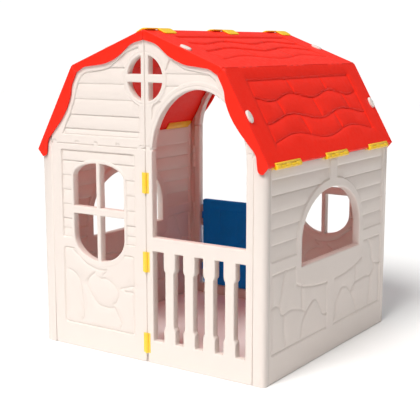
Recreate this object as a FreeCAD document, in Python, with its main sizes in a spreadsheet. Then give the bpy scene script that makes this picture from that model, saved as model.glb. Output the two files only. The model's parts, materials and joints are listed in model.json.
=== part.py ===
import FreeCAD, Part
import math
import os

# Folding plastic playhouse. +X is right along the front wall, +Y is to the back, +Z is up,
# and the origin is the middle of the footprint at floor level. Millimetres.

doc = FreeCAD.newDocument("playhouse")
V = FreeCAD.Vector

DIMENSIONS = [
    # footprint and walls
    ("wall_width", 900),
    ("wall_depth", 883),
    ("panel_thick", 28),
    ("side_thick", 30),
    ("column_width", 44),
    ("seam_height", 709),
    ("seam_gap", 1),
    ("corner_radius", 14),
    # roof outline, as the outer surface of the right half
    ("ridge_height", 1085),
    ("knee_reach", 300),
    ("knee_height", 970),
    ("eave_reach", 462),
    ("eave_height", 683),
    ("roof_depth", 898),
    ("roof_thick", 18),
    ("roof_clearance", 1.5),
    ("fascia_thick", 6.8),
    # front window
    ("window_centre", 201),
    ("window_half", 109),
    ("window_low", 316),
    ("window_high", 648),
    ("window_spring_low", 400),
    ("window_spring_high", 600),
    ("mullion_half", 8),
    ("mullion_low", 472),
    ("mullion_high", 498),
    # gable window
    ("gable_window_half", 70),
    ("gable_window_rise", 73),
    ("gable_window_height", 933),
    ("gable_bar_half", 15),
    ("gable_crossbar_half", 13),
    # arched opening
    ("arch_centre", 203),
    ("arch_half", 177),
    ("arch_spring", 690),
    ("arch_rise", 212),
    # fence under the arch
    ("rail_low", 378),
    ("rail_high", 424),
    ("fence_low", 78),
    ("baluster_first", 91.5),
    ("baluster_pitch", 76.6),
    ("baluster_wide", 45),
    ("baluster_slim", 33),
    ("baluster_step_low", 129),
    ("baluster_step_high", 318),
    # side window
    ("side_window_half", 212),
    ("side_window_low", 338),
    ("side_window_spring", 420),
    ("side_window_high", 571),
    # half door and its doorway
    ("threshold_height", 38),
    ("door_thick", 20),
    ("door_height", 360),
    ("door_gap", 3),
    ("door_barrel", 6),
    ("door_knuckle", 30),
    # hinges
    ("hinge_barrel", 6.5),
    ("hinge_tall", 67),
    ("hinge_leaf", 13.5),
    ("hinge_recess", 6),
    ("pin_radius", 2.5),
    ("pin_fit", 2.55),
    ("open_pivot_fit", 3.2),
    ("knuckle_gap", 0.5),
    ("eave_hinge_long", 155),
    ("eave_axis_reach", 460),
    ("eave_axis_height", 677),
    ("knee_barrel", 4),
    ("knee_pin", 1.5),
    ("knee_pin_fit", 1.55),
    # small parts
    ("cap_long", 42),
    ("cap_wide", 25),
    ("cap_proud", 6),
    ("hook_long", 68),
    ("hook_thick", 4.5),
    ("peg_wide", 18),
    ("peg_tall", 16),
    ("peg_deep", 8),
]

sheet = doc.addObject("Spreadsheet::Sheet", "Dimensions")
for row, (alias, value) in enumerate(DIMENSIONS, start=1):
    sheet.set("A%d" % row, alias)
    sheet.set("B%d" % row, str(value))
    sheet.setAlias("B%d" % row, alias)
doc.recompute()


def size(alias):
    return float(getattr(sheet, alias))


WALL_X = size("wall_width") / 2
WALL_Y = size("wall_depth") / 2
SEAM_X = WALL_X - size("column_width")
INNER_X = WALL_X - size("side_thick")
INNER_Y = WALL_Y - size("panel_thick")
HALF_GAP = size("seam_gap") / 2
SEAM_Z = size("seam_height")
ROOF_Y = size("roof_depth") / 2
FASCIA_Y = ROOF_Y - size("fascia_thick")

# The vertical fold axes: the corners turn just inside the inner face, the centre seams
# just outside the outer face, so the wall halves fold inwards.
CORNER_AXIS_Y = INNER_Y - 1
CENTRE_AXIS_Y = WALL_Y + 1
HINGE_HEIGHTS = (67, 340, 600)
CORNER_HEIGHTS = (100, 340, 580)
EAVE_HINGE_PLACES = (-327, 0, 327)
KNEE_HINGE_PLACES = (-300, 0, 300)
KNEE_HINGE_LONG = 120


# ---------------------------------------------------------------- outlines

def add(p, q, scale=1.0):
    return (p[0] + scale * q[0], p[1] + scale * q[1])


def unit(p, q):
    length = math.hypot(q[0] - p[0], q[1] - p[1])
    return ((q[0] - p[0]) / length, (q[1] - p[1]) / length)


RIDGE = (0.0, size("ridge_height"))
KNEE = (size("knee_reach"), size("knee_height"))
EAVE = (size("eave_reach"), size("eave_height"))
UP_LOWER = unit(EAVE, KNEE)
UP_UPPER = unit(KNEE, RIDGE)
OUT_LOWER = (UP_LOWER[1], -UP_LOWER[0])
OUT_UPPER = (UP_UPPER[1], -UP_UPPER[0])
COS_KNEE = OUT_LOWER[0] * OUT_UPPER[0] + OUT_LOWER[1] * OUT_UPPER[1]
BISECTOR = ((OUT_LOWER[0] + OUT_UPPER[0]) / (1 + COS_KNEE),
            (OUT_LOWER[1] + OUT_UPPER[1]) / (1 + COS_KNEE))
KNEE_AXIS_DEPTH = size("knee_barrel") + 0.3
KNEE_AXIS = add(KNEE, BISECTOR, -KNEE_AXIS_DEPTH)
EAVE_AXIS = (size("eave_axis_reach"), size("eave_axis_height"))
RIDGE_SLOPE = (RIDGE[1] - KNEE[1]) / KNEE[0]


def on_lower(along, out):
    """A point measured up the lower slope from the eave, and outwards from its surface."""
    return add(add(EAVE, UP_LOWER, along), OUT_LOWER, out)


def on_upper(along, out):
    """A point measured up the upper slope from the knee, and outwards from its surface."""
    return add(add(KNEE, UP_UPPER, along), OUT_UPPER, out)


def roof_under(depth):
    """The roof's underside, depth below its outer surface: eave end, knee and ridge points."""
    eave = on_lower(0, -depth)
    knee = add(KNEE, BISECTOR, -depth)
    ridge = (0.0, RIDGE[1] - depth / OUT_UPPER[1])
    return eave, knee, ridge


def segment(p, q):
    return Part.LineSegment(V(p[0], p[1], 0), V(q[0], q[1], 0))


def polygon(points):
    """A closed outline. Points that repeat the one before are passed over."""
    corners = [p for p, q in zip(points, points[1:] + points[:1]) if math.dist(p, q) > 1e-6]
    return [segment(p, q) for p, q in zip(corners, corners[1:] + corners[:1])]


def rectangle(x0, z0, x1, z1):
    return polygon([(x0, z0), (x1, z0), (x1, z1), (x0, z1)])


def circle(x, z, radius):
    return [Part.Circle(V(x, z, 0), V(0, 0, 1), radius)]


def ellipse_arc(cx, cz, half_x, half_z, start, end):
    """An arc of an axis-aligned ellipse between two parameter angles in radians."""
    if half_x >= half_z:
        curve = Part.Ellipse(V(cx, cz, 0), half_x, half_z)
        return Part.ArcOfEllipse(curve, start, end)
    curve = Part.Ellipse(V(cx, cz + half_z, 0), V(cx - half_x, cz, 0), V(cx, cz, 0))
    return Part.ArcOfEllipse(curve, start - math.pi / 2, end - math.pi / 2)


def smooth(points):
    curve = Part.BSplineCurve()
    curve.interpolate([V(x, z, 0) for x, z in points])
    return curve


def arched(x0, x1, low, spring, rise):
    """An opening with a flat sill, upright sides and a half-ellipse head."""
    centre = (x0 + x1) / 2
    return [
        segment((x0, spring), (x0, low)),
        segment((x0, low), (x1, low)),
        segment((x1, low), (x1, spring)),
        ellipse_arc(centre, spring, (x1 - x0) / 2, rise, 0, math.pi),
    ]


def window_pane(centre, half, spring, rise, side, up, bar_half, bar_edge):
    """One of four panes: between the bars and the rounded rim of a window."""
    turn = math.acos(bar_half / half)
    lift = max(0.0, up * (bar_edge - spring) / rise)
    start = math.asin(lift)
    x_bar = centre + side * bar_half
    x_rim = centre + side * half * math.cos(start)
    z_bar_top = spring + up * rise * math.sin(turn)
    angles = {
        (1, 1): (start, turn),
        (-1, 1): (math.pi - turn, math.pi - start),
        (-1, -1): (math.pi + start, math.pi + turn),
        (1, -1): (2 * math.pi - turn, 2 * math.pi - start),
    }[(side, up)]
    pane = [
        ellipse_arc(centre, spring, half, rise, *angles),
        segment((x_bar, z_bar_top), (x_bar, bar_edge)),
        segment((x_bar, bar_edge), (x_rim, bar_edge)),
    ]
    if lift == 0.0:
        pane.append(segment((x_rim, bar_edge), (x_rim, spring)))
    return pane


def mirrored(geometry, side):
    """The same outline, or its mirror image in the plane X = 0 when side is -1."""
    if side > 0:
        return geometry
    result = []
    for item in geometry:
        twin = item.copy()
        twin.mirror(V(0, 0, 0), V(0, 1, 0))
        result.append(twin)
    return result


# ---------------------------------------------------------------- building helpers

def new_body(label):
    body = doc.addObject("PartDesign::Body", label)
    body.Label = label
    return body


def sketch_on(body, role, geometry, start):
    """A sketch on one of the body's own planes, start millimetres along that plane's normal."""
    sketch = body.newObject("Sketcher::SketchObject", body.Name + "_outline")
    plane = [f for f in body.Origin.OriginFeatures if f.Role == role][0]
    sketch.AttachmentSupport = [(plane, "")]
    sketch.MapMode = "FlatFace"
    sketch.AttachmentOffset = FreeCAD.Placement(V(0, 0, start), FreeCAD.Rotation())
    sketch.addGeometry(geometry, False)
    return sketch


def set_length(feature, length):
    """A length is either a plain number or an expression on the sheet's cells."""
    if isinstance(length, str):
        feature.setExpression("Length", length)
    else:
        feature.Length = length


def pad(body, role, geometry, start, length):
    feature = body.newObject("PartDesign::Pad", body.Name + "_pad")
    feature.Profile = sketch_on(body, role, geometry, start)
    set_length(feature, length)
    return feature


def pocket(body, role, geometry, start, length):
    """Cuts along the sketch plane's normal, as pad() builds."""
    feature = body.newObject("PartDesign::Pocket", body.Name + "_pocket")
    feature.Profile = sketch_on(body, role, geometry, start)
    feature.Reversed = True
    set_length(feature, length)
    return feature


def pad_y(body, geometry, y0, y1):
    """A sketch in X and Z, given depth from y0 to y1. The XZ plane's normal is -Y."""
    return pad(body, "XZ_Plane", geometry, -y1, y1 - y0)


def pocket_y(body, geometry, y0, y1):
    return pocket(body, "XZ_Plane", geometry, -y1, y1 - y0)


def pad_z(body, geometry, z0, z1):
    return pad(body, "XY_Plane", geometry, z0, z1 - z0)


def pocket_z(body, geometry, z0, z1):
    return pocket(body, "XY_Plane", geometry, z0, z1 - z0)


def depth_range(side, near, far):
    """Distances from the middle of the house, turned into y0 and y1 for the front or back."""
    return (near, far) if side > 0 else (-far, -near)


pieces = []


def finish(label, thing):
    pieces.append((label, thing))
    return thing


# ---------------------------------------------------------------- side walls

def column_outline(side, end):
    """A corner column seen from above, with its outer corner rounded."""
    radius = size("corner_radius")
    x_in, x_out = side * (SEAM_X + HALF_GAP), side * WALL_X
    y_in, y_out = end * INNER_Y, end * WALL_Y
    bend_x, bend_y = x_out - side * radius, y_out - end * radius
    middle = V(bend_x + side * radius * math.sqrt(0.5), bend_y + end * radius * math.sqrt(0.5), 0)
    arc = Part.Arc(V(x_out, bend_y, 0), middle, V(bend_x, y_out, 0))
    return [
        segment((x_in, y_in), (x_out, y_in)),
        segment((x_out, y_in), (x_out, bend_y)),
        arc,
        segment((bend_x, y_out), (x_in, y_out)),
        segment((x_in, y_out), (x_in, y_in)),
    ]


def knuckle_spans(centre, tall):
    """The heights of a hinge's three knuckles, low, middle and high, with gaps between."""
    gap = size("knuckle_gap") / 2
    sixth = tall / 6
    low = (centre - tall / 2, centre - sixth - gap)
    middle = (centre - sixth + gap, centre + sixth - gap)
    high = (centre + sixth + gap, centre + tall / 2)
    return low, middle, high


CORNER_TALL = 90


def corner_knuckles(body, x, y, spans, bore):
    for low, high in spans:
        pad_z(body, circle(x, y, size("hinge_barrel")), low, high)
        pocket_z(body, circle(x, y, bore), low, high)


def corner_relief(body, x, y, spans):
    clear = 1.0
    for low, high in spans:
        pocket_z(body, circle(x, y, size("hinge_barrel") + clear), low - clear, high + clear)


def side_wall(label, side):
    body = new_body(label)
    top = SEAM_Z + 60
    x_low = min(side * INNER_X, side * WALL_X)
    panel = rectangle(-INNER_Y, 0, INNER_Y, top)
    half = size("side_window_half")
    window = arched(-half, half, size("side_window_low"), size("side_window_spring"),
                    size("side_window_high") - size("side_window_spring"))
    pad(body, "YZ_Plane", panel + window, x_low, "Dimensions.side_thick")
    for end in (-1, 1):
        pad_z(body, column_outline(side, end), 0, top)
    # The top is bevelled to lie just under the roof.
    depth = size("roof_thick") + size("roof_clearance")
    low = on_lower(-40, -depth)
    high = on_lower(260, -depth)
    above = [low, high, (high[0], high[1] + 200), (low[0] + 200, high[1] + 200), (low[0] + 200, low[1])]
    pocket_y(body, mirrored(polygon(above), side), -WALL_Y - 5, WALL_Y + 5)
    # Seats for the eave hinge leaves.
    seat = polygon([on_lower(-14, -23), on_lower(70, -23), on_lower(70, -10), on_lower(-14, -10)])
    reach = size("eave_hinge_long") / 2 + 1
    for place in EAVE_HINGE_PLACES:
        pocket_y(body, mirrored(seat, side), place - reach, place + reach)
    for end in (-1, 1):
        x, y = side * SEAM_X, end * CORNER_AXIS_Y
        for centre in CORNER_HEIGHTS:
            low_span, middle_span, high_span = knuckle_spans(centre, CORNER_TALL)
            corner_relief(body, x, y, [middle_span])
            corner_knuckles(body, x, y, [low_span, high_span], size("pin_radius"))
    return finish(label, body)


side_wall("left_side_wall", -1)
side_wall("right_side_wall", 1)


# ---------------------------------------------------------------- front and back panels

def wall_panel(label, side, end, kind):
    """A lower wall half. side is -1 on the left and 1 on the right, end is -1 at the front."""
    body = new_body(label)
    x0, x1 = HALF_GAP, SEAM_X - HALF_GAP
    y0, y1 = depth_range(end, INNER_Y, WALL_Y)
    outline = rectangle(x0, 0, x1, SEAM_Z)
    if kind == "window":
        for left in (-1, 1):
            for up in (-1, 1):
                spring = size("window_spring_high") if up > 0 else size("window_spring_low")
                rim = size("window_high") if up > 0 else size("window_low")
                edge = size("mullion_high") if up > 0 else size("mullion_low")
                outline += window_pane(size("window_centre"), size("window_half"), spring,
                                       abs(rim - spring), left, up, size("mullion_half"), edge)
    pad_y(body, mirrored(outline, side), y0, y1)
    left, right = size("arch_centre") - size("arch_half"), size("arch_centre") + size("arch_half")
    if kind == "fence":
        arch = arched(left, right, size("rail_high"), size("arch_spring"), size("arch_rise"))
        pocket_y(body, mirrored(arch, side), y0 - 1, y1 + 1)
        for gap in fence_gaps(left, right):
            pocket_y(body, mirrored(polygon(gap), side), y0 - 1, y1 + 1)
    if kind == "doorway":
        door_way = arched(left, right, size("threshold_height"), size("arch_spring"),
                          size("arch_rise"))
        pocket_y(body, mirrored(door_way, side), y0 - 1, y1 + 1)
        door_lugs(body, side, end)
    centre_seats(body, side, end)
    panel_corner(body, side, end)
    peg_seats(body, side, end)
    return finish(label, body)


def fence_gaps(left, right):
    """Five gaps between four balusters, each baluster wider at its foot and head."""
    z_low, z_high = size("fence_low"), size("rail_low")
    steps = size("baluster_step_low"), size("baluster_step_high")
    inset = (size("baluster_wide") - size("baluster_slim")) / 2
    centres = [size("baluster_first") + i * size("baluster_pitch") for i in range(4)]
    starts = [None] + [c + size("baluster_wide") / 2 for c in centres]
    ends = [c - size("baluster_wide") / 2 for c in centres] + [None]
    for start, end in zip(starts, ends):
        x0 = left if start is None else start
        x1 = right if end is None else end
        x0_mid = x0 if start is None else x0 - inset
        x1_mid = x1 if end is None else x1 + inset
        yield [(x0, z_low), (x1, z_low), (x1, steps[0]), (x1_mid, steps[0]), (x1_mid, steps[1]),
               (x1, steps[1]), (x1, z_high), (x0, z_high), (x0, steps[1]), (x0_mid, steps[1]),
               (x0_mid, steps[0]), (x0, steps[0])]


def centre_seats(body, side, end):
    """Recesses for the yellow hinge leaves beside the centre seam."""
    seat = rectangle(0, -size("hinge_tall") / 2 - 0.5, size("hinge_leaf") + 0.5,
                     size("hinge_tall") / 2 + 0.5)
    y0, y1 = depth_range(end, WALL_Y - size("hinge_recess"), WALL_Y + 1)
    for centre in HINGE_HEIGHTS:
        raised = [g.copy() for g in seat]
        for item in raised:
            item.translate(V(0, centre, 0))
        pocket_y(body, mirrored(raised, side), y0, y1)


def panel_corner(body, side, end):
    """The middle knuckles of the corner hinges, and room for the column's knuckles."""
    x, y = side * SEAM_X, end * CORNER_AXIS_Y
    bore = size("open_pivot_fit") if (side, end) == (1, 1) else size("pin_fit")
    for centre in CORNER_HEIGHTS:
        low_span, middle_span, high_span = knuckle_spans(centre, CORNER_TALL)
        corner_relief(body, x, y, [low_span, high_span])
        corner_knuckles(body, x, y, [middle_span], bore)


PEG_PLACES = {-1: (23, 207, 388), 1: (12, 392)}


def peg_places(side, end):
    """Pegs are where each kind of half has material: the window half has three."""
    return PEG_PLACES[side * -end]


def peg_outline(x):
    half = size("peg_wide") / 2
    return rectangle(x - half, SEAM_Z - size("peg_tall") / 2, x + half, SEAM_Z + size("peg_tall") / 2)


def peg_seats(body, side, end):
    y0, y1 = depth_range(end, WALL_Y - size("peg_deep"), WALL_Y + 1)
    for x in peg_places(side, end):
        pocket_y(body, mirrored(peg_outline(x), side), y0, y1)


DOOR_LUG_HEIGHTS = (110, 330)
DOOR_AXIS_X = size("arch_centre") + size("arch_half") - 6
DOOR_AXIS_Y = WALL_Y - 7


def door_lugs(body, side, end):
    """Two pairs of eyes on the doorway's jamb, one above and one below each door knuckle."""
    x, y = side * DOOR_AXIS_X, end * DOOR_AXIS_Y
    jamb = side * (size("arch_centre") + size("arch_half") + 3)
    tall = size("door_knuckle")
    half = size("door_barrel")
    for centre in DOOR_LUG_HEIGHTS:
        for low in (centre - 1.5 * tall, centre + 0.5 * tall):
            low, high = low + 0.5, low + tall - 0.5
            web = rectangle(min(x, jamb), y - half, max(x, jamb), y + half)
            pad_z(body, web, low, high)
            pad_z(body, circle(x, y, half), low, high)
            pocket_z(body, circle(x, y, size("pin_radius")), low, high)


wall_panel("front_left_panel", -1, -1, "window")
wall_panel("front_right_panel", 1, -1, "fence")
wall_panel("back_left_panel", -1, 1, "doorway")
wall_panel("back_right_panel", 1, 1, "window")


# ---------------------------------------------------------------- gables

def gable(label, side, end):
    body = new_body(label)
    y0, y1 = depth_range(end, INNER_Y, WALL_Y)
    depth = size("roof_thick") + size("roof_clearance")
    eave, knee, ridge = roof_under(depth)
    x0, x1 = HALF_GAP, SEAM_X - HALF_GAP
    rise = (knee[1] - eave[1]) / (eave[0] - knee[0])
    z_side = knee[1] - (x1 - knee[0]) * rise
    z_ridge = ridge[1] - x0 * (ridge[1] - knee[1]) / knee[0]
    foot = SEAM_Z + 0.3
    outline = polygon([(x0, foot), (x1, foot), (x1, z_side), knee, (x0, z_ridge)])
    for up in (-1, 1):
        edge = size("gable_window_height") + up * size("gable_crossbar_half")
        outline += window_pane(0, size("gable_window_half"), size("gable_window_height"),
                               size("gable_window_rise"), 1, up, size("gable_bar_half"), edge)
    pad_y(body, mirrored(outline, side), y0, y1)
    if side * -end > 0:
        left = size("arch_centre") - size("arch_half")
        right = size("arch_centre") + size("arch_half")
        arch = arched(left, right, SEAM_Z - 50, size("arch_spring"), size("arch_rise"))
        pocket_y(body, mirrored(arch, side), y0 - 1, y1 + 1)
    peg_seats(body, side, end)
    # Low studs on the sloping edges, which the roof's snap caps drop over.
    stud_y = depth_range(end, INNER_Y + 10, WALL_Y - 10)
    for point, along in ((on_upper, CAP_UPPER), (on_lower, CAP_LOWER)):
        stud = [point(along - 9, -depth - 3), point(along + 9, -depth - 3),
                point(along + 7, -depth + 5), point(along - 7, -depth + 5)]
        pad_y(body, mirrored(polygon(stud), side), *stud_y)
    return finish(label, body)


CAP_UPPER = 160
CAP_LOWER = 165
gable("front_left_gable", -1, -1)
gable("front_right_gable", 1, -1)
gable("back_left_gable", -1, 1)
gable("back_right_gable", 1, 1)


def gable_pegs(label, side, end):
    """Flat pegs set across the seam between a panel and its gable."""
    y0, y1 = depth_range(end, WALL_Y - size("peg_deep") + 0.2, WALL_Y - 0.2)
    shape_list = []
    for number, x in enumerate(peg_places(side, end)):
        peg = doc.addObject("Part::Box", "%s_%d" % (label, number))
        peg.setExpression("Length", "Dimensions.peg_wide - 0.6")
        peg.setExpression("Height", "Dimensions.peg_tall - 0.6")
        peg.Width = y1 - y0
        x_low = side * x - size("peg_wide") / 2 + 0.3
        peg.Placement.Base = V(x_low, y0, SEAM_Z - size("peg_tall") / 2 + 0.3)
        rounded = doc.addObject("Part::Fillet", "%s_round_%d" % (label, number))
        rounded.Base = peg
        doc.recompute()
        upright = [i + 1 for i, e in enumerate(peg.Shape.Edges)
                   if abs(e.Vertexes[0].Y - e.Vertexes[-1].Y) > 1]
        rounded.Edges = [(i, 3.0, 3.0) for i in upright]
        shape_list.append(rounded)
    return group(label, shape_list)


def group(label, members):
    """Several like solids that share one node."""
    doc.recompute()
    holder = doc.addObject("Part::Compound", label)
    holder.Label = label
    holder.Links = members
    return finish(label, holder)


for side, end, label in ((-1, -1, "front_left_gable_pegs"), (1, -1, "front_right_gable_pegs"),
                         (-1, 1, "back_left_gable_pegs"), (1, 1, "back_right_gable_pegs")):
    gable_pegs(label, side, end)


# ---------------------------------------------------------------- roof

def fascia_upper(side):
    """The lip over the gable from the ridge to the knee, with its wavy lower edge."""
    ridge = (HALF_GAP, RIDGE[1] - 5)
    low = [(HALF_GAP, 1053), (52, 1038), (100, 1002), (156, 978), (212, 970), (250, 964),
           KNEE_LIP_UPPER]
    return mirrored([
        segment(low[-1], KNEE_END_UPPER),
        segment(KNEE_END_UPPER, ridge),
        segment(ridge, low[0]),
        smooth(low),
    ], side)


def fascia_lower(side):
    low = [KNEE_LIP_LOWER, (302, 904), (309, 868), (328, 824), (356, 784), (390, 746),
           (415, 717), (420, 690), (424, 668), (433, 660)]
    tip = on_lower(0, -2)
    return mirrored([
        smooth(low),
        segment(low[-1], tip),
        segment(tip, KNEE_END_LOWER),
        segment(KNEE_END_LOWER, low[0]),
    ], side)


# Both halves meet on the knee's mitre line, with a little play.
PLAY = 0.3
KNEE_MITRE = unit((0, 0), BISECTOR)
KNEE_END_LOWER = add(add(KNEE_AXIS, KNEE_MITRE, -1), UP_LOWER, -PLAY)
KNEE_END_UPPER = add(add(KNEE_AXIS, KNEE_MITRE, -1), UP_UPPER, PLAY)
KNEE_LIP_LOWER = add(add(KNEE_AXIS, KNEE_MITRE, -26), UP_LOWER, -PLAY)
KNEE_LIP_UPPER = add(add(KNEE_AXIS, KNEE_MITRE, -26), UP_UPPER, PLAY)


def slope_frame(point, along, up, side, y):
    """A placement whose X runs up the slope and whose Z points out of the roof."""
    base = point(along, 0)
    x_axis = V(side * up[0], 0, up[1])
    z_axis = V(side * up[1], 0, -up[0])
    y_axis = z_axis.cross(x_axis)
    rotation = FreeCAD.Rotation(x_axis, y_axis, z_axis, "ZXY")
    return FreeCAD.Placement(V(side * base[0], y, base[1]), rotation)


CAP_Y = (INNER_Y + WALL_Y) / 2


def roof_slab(label, side, part):
    """One of the roof's four slabs, with its lips over the gables."""
    body = new_body(label)
    thick = size("roof_thick")
    eave, knee, ridge = roof_under(thick)
    if part == "lower":
        end = add(add(KNEE_AXIS, OUT_LOWER, KNEE_AXIS_DEPTH), UP_LOWER, -PLAY)
        outline = [on_lower(0, 0), end, add(KNEE_AXIS, UP_LOWER, -PLAY),
                   add(knee, UP_LOWER, -PLAY), eave]
    else:
        end = add(add(KNEE_AXIS, OUT_UPPER, KNEE_AXIS_DEPTH), UP_UPPER, PLAY)
        outline = [end, (HALF_GAP, RIDGE[1] - HALF_GAP * RIDGE_SLOPE),
                   (HALF_GAP, ridge[1] - HALF_GAP * RIDGE_SLOPE), add(knee, UP_UPPER, PLAY),
                   add(KNEE_AXIS, UP_UPPER, PLAY)]
    pad_y(body, mirrored(polygon(outline), side), -ROOF_Y, ROOF_Y)
    lip = fascia_lower if part == "lower" else fascia_upper
    for end_side in (-1, 1):
        pad_y(body, lip(side), *depth_range(end_side, FASCIA_Y, ROOF_Y))
    if part == "lower":
        notch = polygon([on_lower(-10, 4), on_lower(10.4, 4), on_lower(10.4, -14),
                         on_lower(10.4, -24), on_lower(-10, -24)])
        reach = size("eave_hinge_long") / 2 + 1
        for place in EAVE_HINGE_PLACES:
            pocket_y(body, mirrored(notch, side), place - reach, place + reach)
    knee_knuckles(body, side, part)
    return body


def knee_knuckles(body, side, part):
    """Knee knuckles: the outer two of each hinge on the lower slab, the middle on the upper."""
    x, z = side * KNEE_AXIS[0], KNEE_AXIS[1]
    barrel, gap = size("knee_barrel"), size("knuckle_gap")
    for place in KNEE_HINGE_PLACES:
        low, middle, high = knuckle_spans(place, KNEE_HINGE_LONG)
        own = [low, high] if part == "lower" else [middle]
        other = [middle] if part == "lower" else [low, high]
        bore = size("knee_pin") if part == "lower" else size("knee_pin_fit")
        for span in other:
            pocket_y(body, circle(x, z, barrel + 0.6), span[0] - gap, span[1] + gap)
        for span in own:
            pad_y(body, circle(x, z, barrel), *span)
            pocket_y(body, circle(x, z, bore), *span)


def with_cap_slots(body, label, side, part):
    """Cuts the snap caps' oval slots through a slab and makes the caps."""
    point, up, along = ((on_lower, UP_LOWER, CAP_LOWER) if part == "lower"
                        else (on_upper, UP_UPPER, CAP_UPPER))
    doc.recompute()
    shape = body.Shape
    caps = []
    thick, proud = size("roof_thick"), size("cap_proud")
    half_long, half_wide = size("cap_long") / 2, size("cap_wide") / 2
    for end in (-1, 1):
        frame = slope_frame(point, along, up, side, end * CAP_Y)
        slot = cap_shape(frame, half_long, half_wide, -thick - 5, 5)
        shape = shape.cut(slot)
        cap = cap_shape(frame, half_long - 0.2, half_wide - 0.2, -thick, proud)
        hollow = cap_shape(frame, half_long - 8, half_wide - 2.5, -thick - 1, -thick + 8)
        rim = max(cap.Edges, key=lambda e: frame.inverse().multVec(e.CenterOfMass).z)
        caps.append(cap.makeFillet(2.5, [rim]).cut(hollow))
    slab = doc.addObject("Part::Feature", label)
    slab.Label = label
    slab.Shape = shape
    finish(label, slab)
    cap_node = doc.addObject("Part::Feature", label + "_caps")
    cap_node.Label = label + "_caps"
    cap_node.Shape = Part.makeCompound(caps)
    finish(label + "_caps", cap_node)


def cap_shape(frame, half_long, half_wide, low, high):
    rim = Part.Ellipse(V(0, 0, 0), half_long, half_wide).toShape()
    face = Part.Face(Part.Wire([rim]))
    shape = face.extrude(V(0, 0, high - low))
    shape.translate(V(0, 0, low))
    shape.Placement = frame.multiply(shape.Placement)
    return shape


for side, name in ((-1, "left"), (1, "right")):
    for part in ("lower", "upper"):
        slab = roof_slab("roof_%s_%s_moulding" % (name, part), side, part)
        with_cap_slots(slab, "roof_%s_%s" % (name, part), side, part)


# ---------------------------------------------------------------- hinges and pins

def cylinders(label, places):
    """Pins: each place is a centre, a radius, a length and an axis, 'y' or 'z'."""
    members = []
    for number, (x, y, z, radius, length, axis) in enumerate(places):
        pin = doc.addObject("Part::Cylinder", "%s_%d" % (label, number))
        pin.setExpression("Radius", radius)
        pin.Height = length
        turn = FreeCAD.Rotation(V(1, 0, 0), -90) if axis == "y" else FreeCAD.Rotation()
        base = V(x, y - length / 2, z) if axis == "y" else V(x, y, z - length / 2)
        pin.Placement = FreeCAD.Placement(base, turn)
        members.append(pin)
    return group(label, members)


END_WORD = {-1: "front", 1: "back"}
SIDE_WORD = {-1: "left", 1: "right"}

for end in (-1, 1):
    for side in (-1, 1):
        cylinders("%s_%s_corner_pins" % (END_WORD[end], SIDE_WORD[side]),
                  [(side * SEAM_X, end * CORNER_AXIS_Y, z, "Dimensions.pin_radius",
                    CORNER_TALL - 4, "z") for z in CORNER_HEIGHTS])
    cylinders("%s_centre_hinge_pins" % END_WORD[end],
              [(0, end * CENTRE_AXIS_Y, z, "Dimensions.pin_radius",
                size("hinge_tall") - 3, "z") for z in HINGE_HEIGHTS])


def centre_leaves(label, side, end):
    """The leaf on the left carries the outer knuckles, the leaf on the right the middle one."""
    members = []
    barrel, leaf = size("hinge_barrel"), size("hinge_leaf")
    y_axis = end * CENTRE_AXIS_Y
    y0, y1 = depth_range(end, WALL_Y - size("hinge_recess") + 0.2, CENTRE_AXIS_Y - 0.3)
    for number, centre in enumerate(HINGE_HEIGHTS):
        leaf_body = doc.addObject("PartDesign::Body", "%s_%d" % (label, number))
        low, middle, high = knuckle_spans(centre, size("hinge_tall"))
        plate = polygon([(side * (barrel + 1), y0), (side * leaf, y0), (side * leaf, y1),
                         (side * (barrel + 1), y1)])
        pad_z(leaf_body, plate, low[0], high[1])
        spans = [low, high] if side < 0 else [middle]
        bore = size("pin_radius") if side < 0 else size("pin_fit")
        for span in spans:
            arm = polygon([(0, y0), (side * (barrel + 2), y0), (side * (barrel + 2), y1), (0, y1)])
            pad_z(leaf_body, arm, *span)
            pad_z(leaf_body, circle(0, y_axis, barrel), *span)
            pocket_z(leaf_body, circle(0, y_axis, bore), *span)
        members.append(leaf_body)
    return group(label, members)


for end in (-1, 1):
    for side in (-1, 1):
        centre_leaves("%s_centre_hinge_leaves_%s" % (END_WORD[end], SIDE_WORD[side]), side, end)


def eave_spans(place):
    """Five knuckles along an eave hinge: the roof leaf has the odd ones, the wall leaf the even."""
    fifth = size("eave_hinge_long") / 5
    gap = size("knuckle_gap") / 2
    start = place - size("eave_hinge_long") / 2
    spans = [(start + i * fifth + gap, start + (i + 1) * fifth - gap) for i in range(5)]
    return spans[0::2], spans[1::2]


def eave_roof_leaves(label, side):
    members = []
    x, z = side * EAVE_AXIS[0], EAVE_AXIS[1]
    for number, place in enumerate(EAVE_HINGE_PLACES):
        body = doc.addObject("PartDesign::Body", "%s_%d" % (label, number))
        odd, even = eave_spans(place)
        plate = [on_lower(4.5, 0.8), on_lower(10, 0.8), on_lower(10, -13), on_lower(4.5, -13)]
        pad_y(body, mirrored(polygon(plate), side), odd[0][0], odd[-1][1])
        arm = [on_lower(-4.2, -8), on_lower(5, -13), on_lower(5, 0.8), on_lower(-4.2, 0.8)]
        for span in odd:
            pad_y(body, mirrored(polygon(arm), side), *span)
            pad_y(body, circle(x, z, size("hinge_barrel")), *span)
            pocket_y(body, circle(x, z, size("pin_radius")), *span)
        members.append(body)
    return group(label, members)


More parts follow.
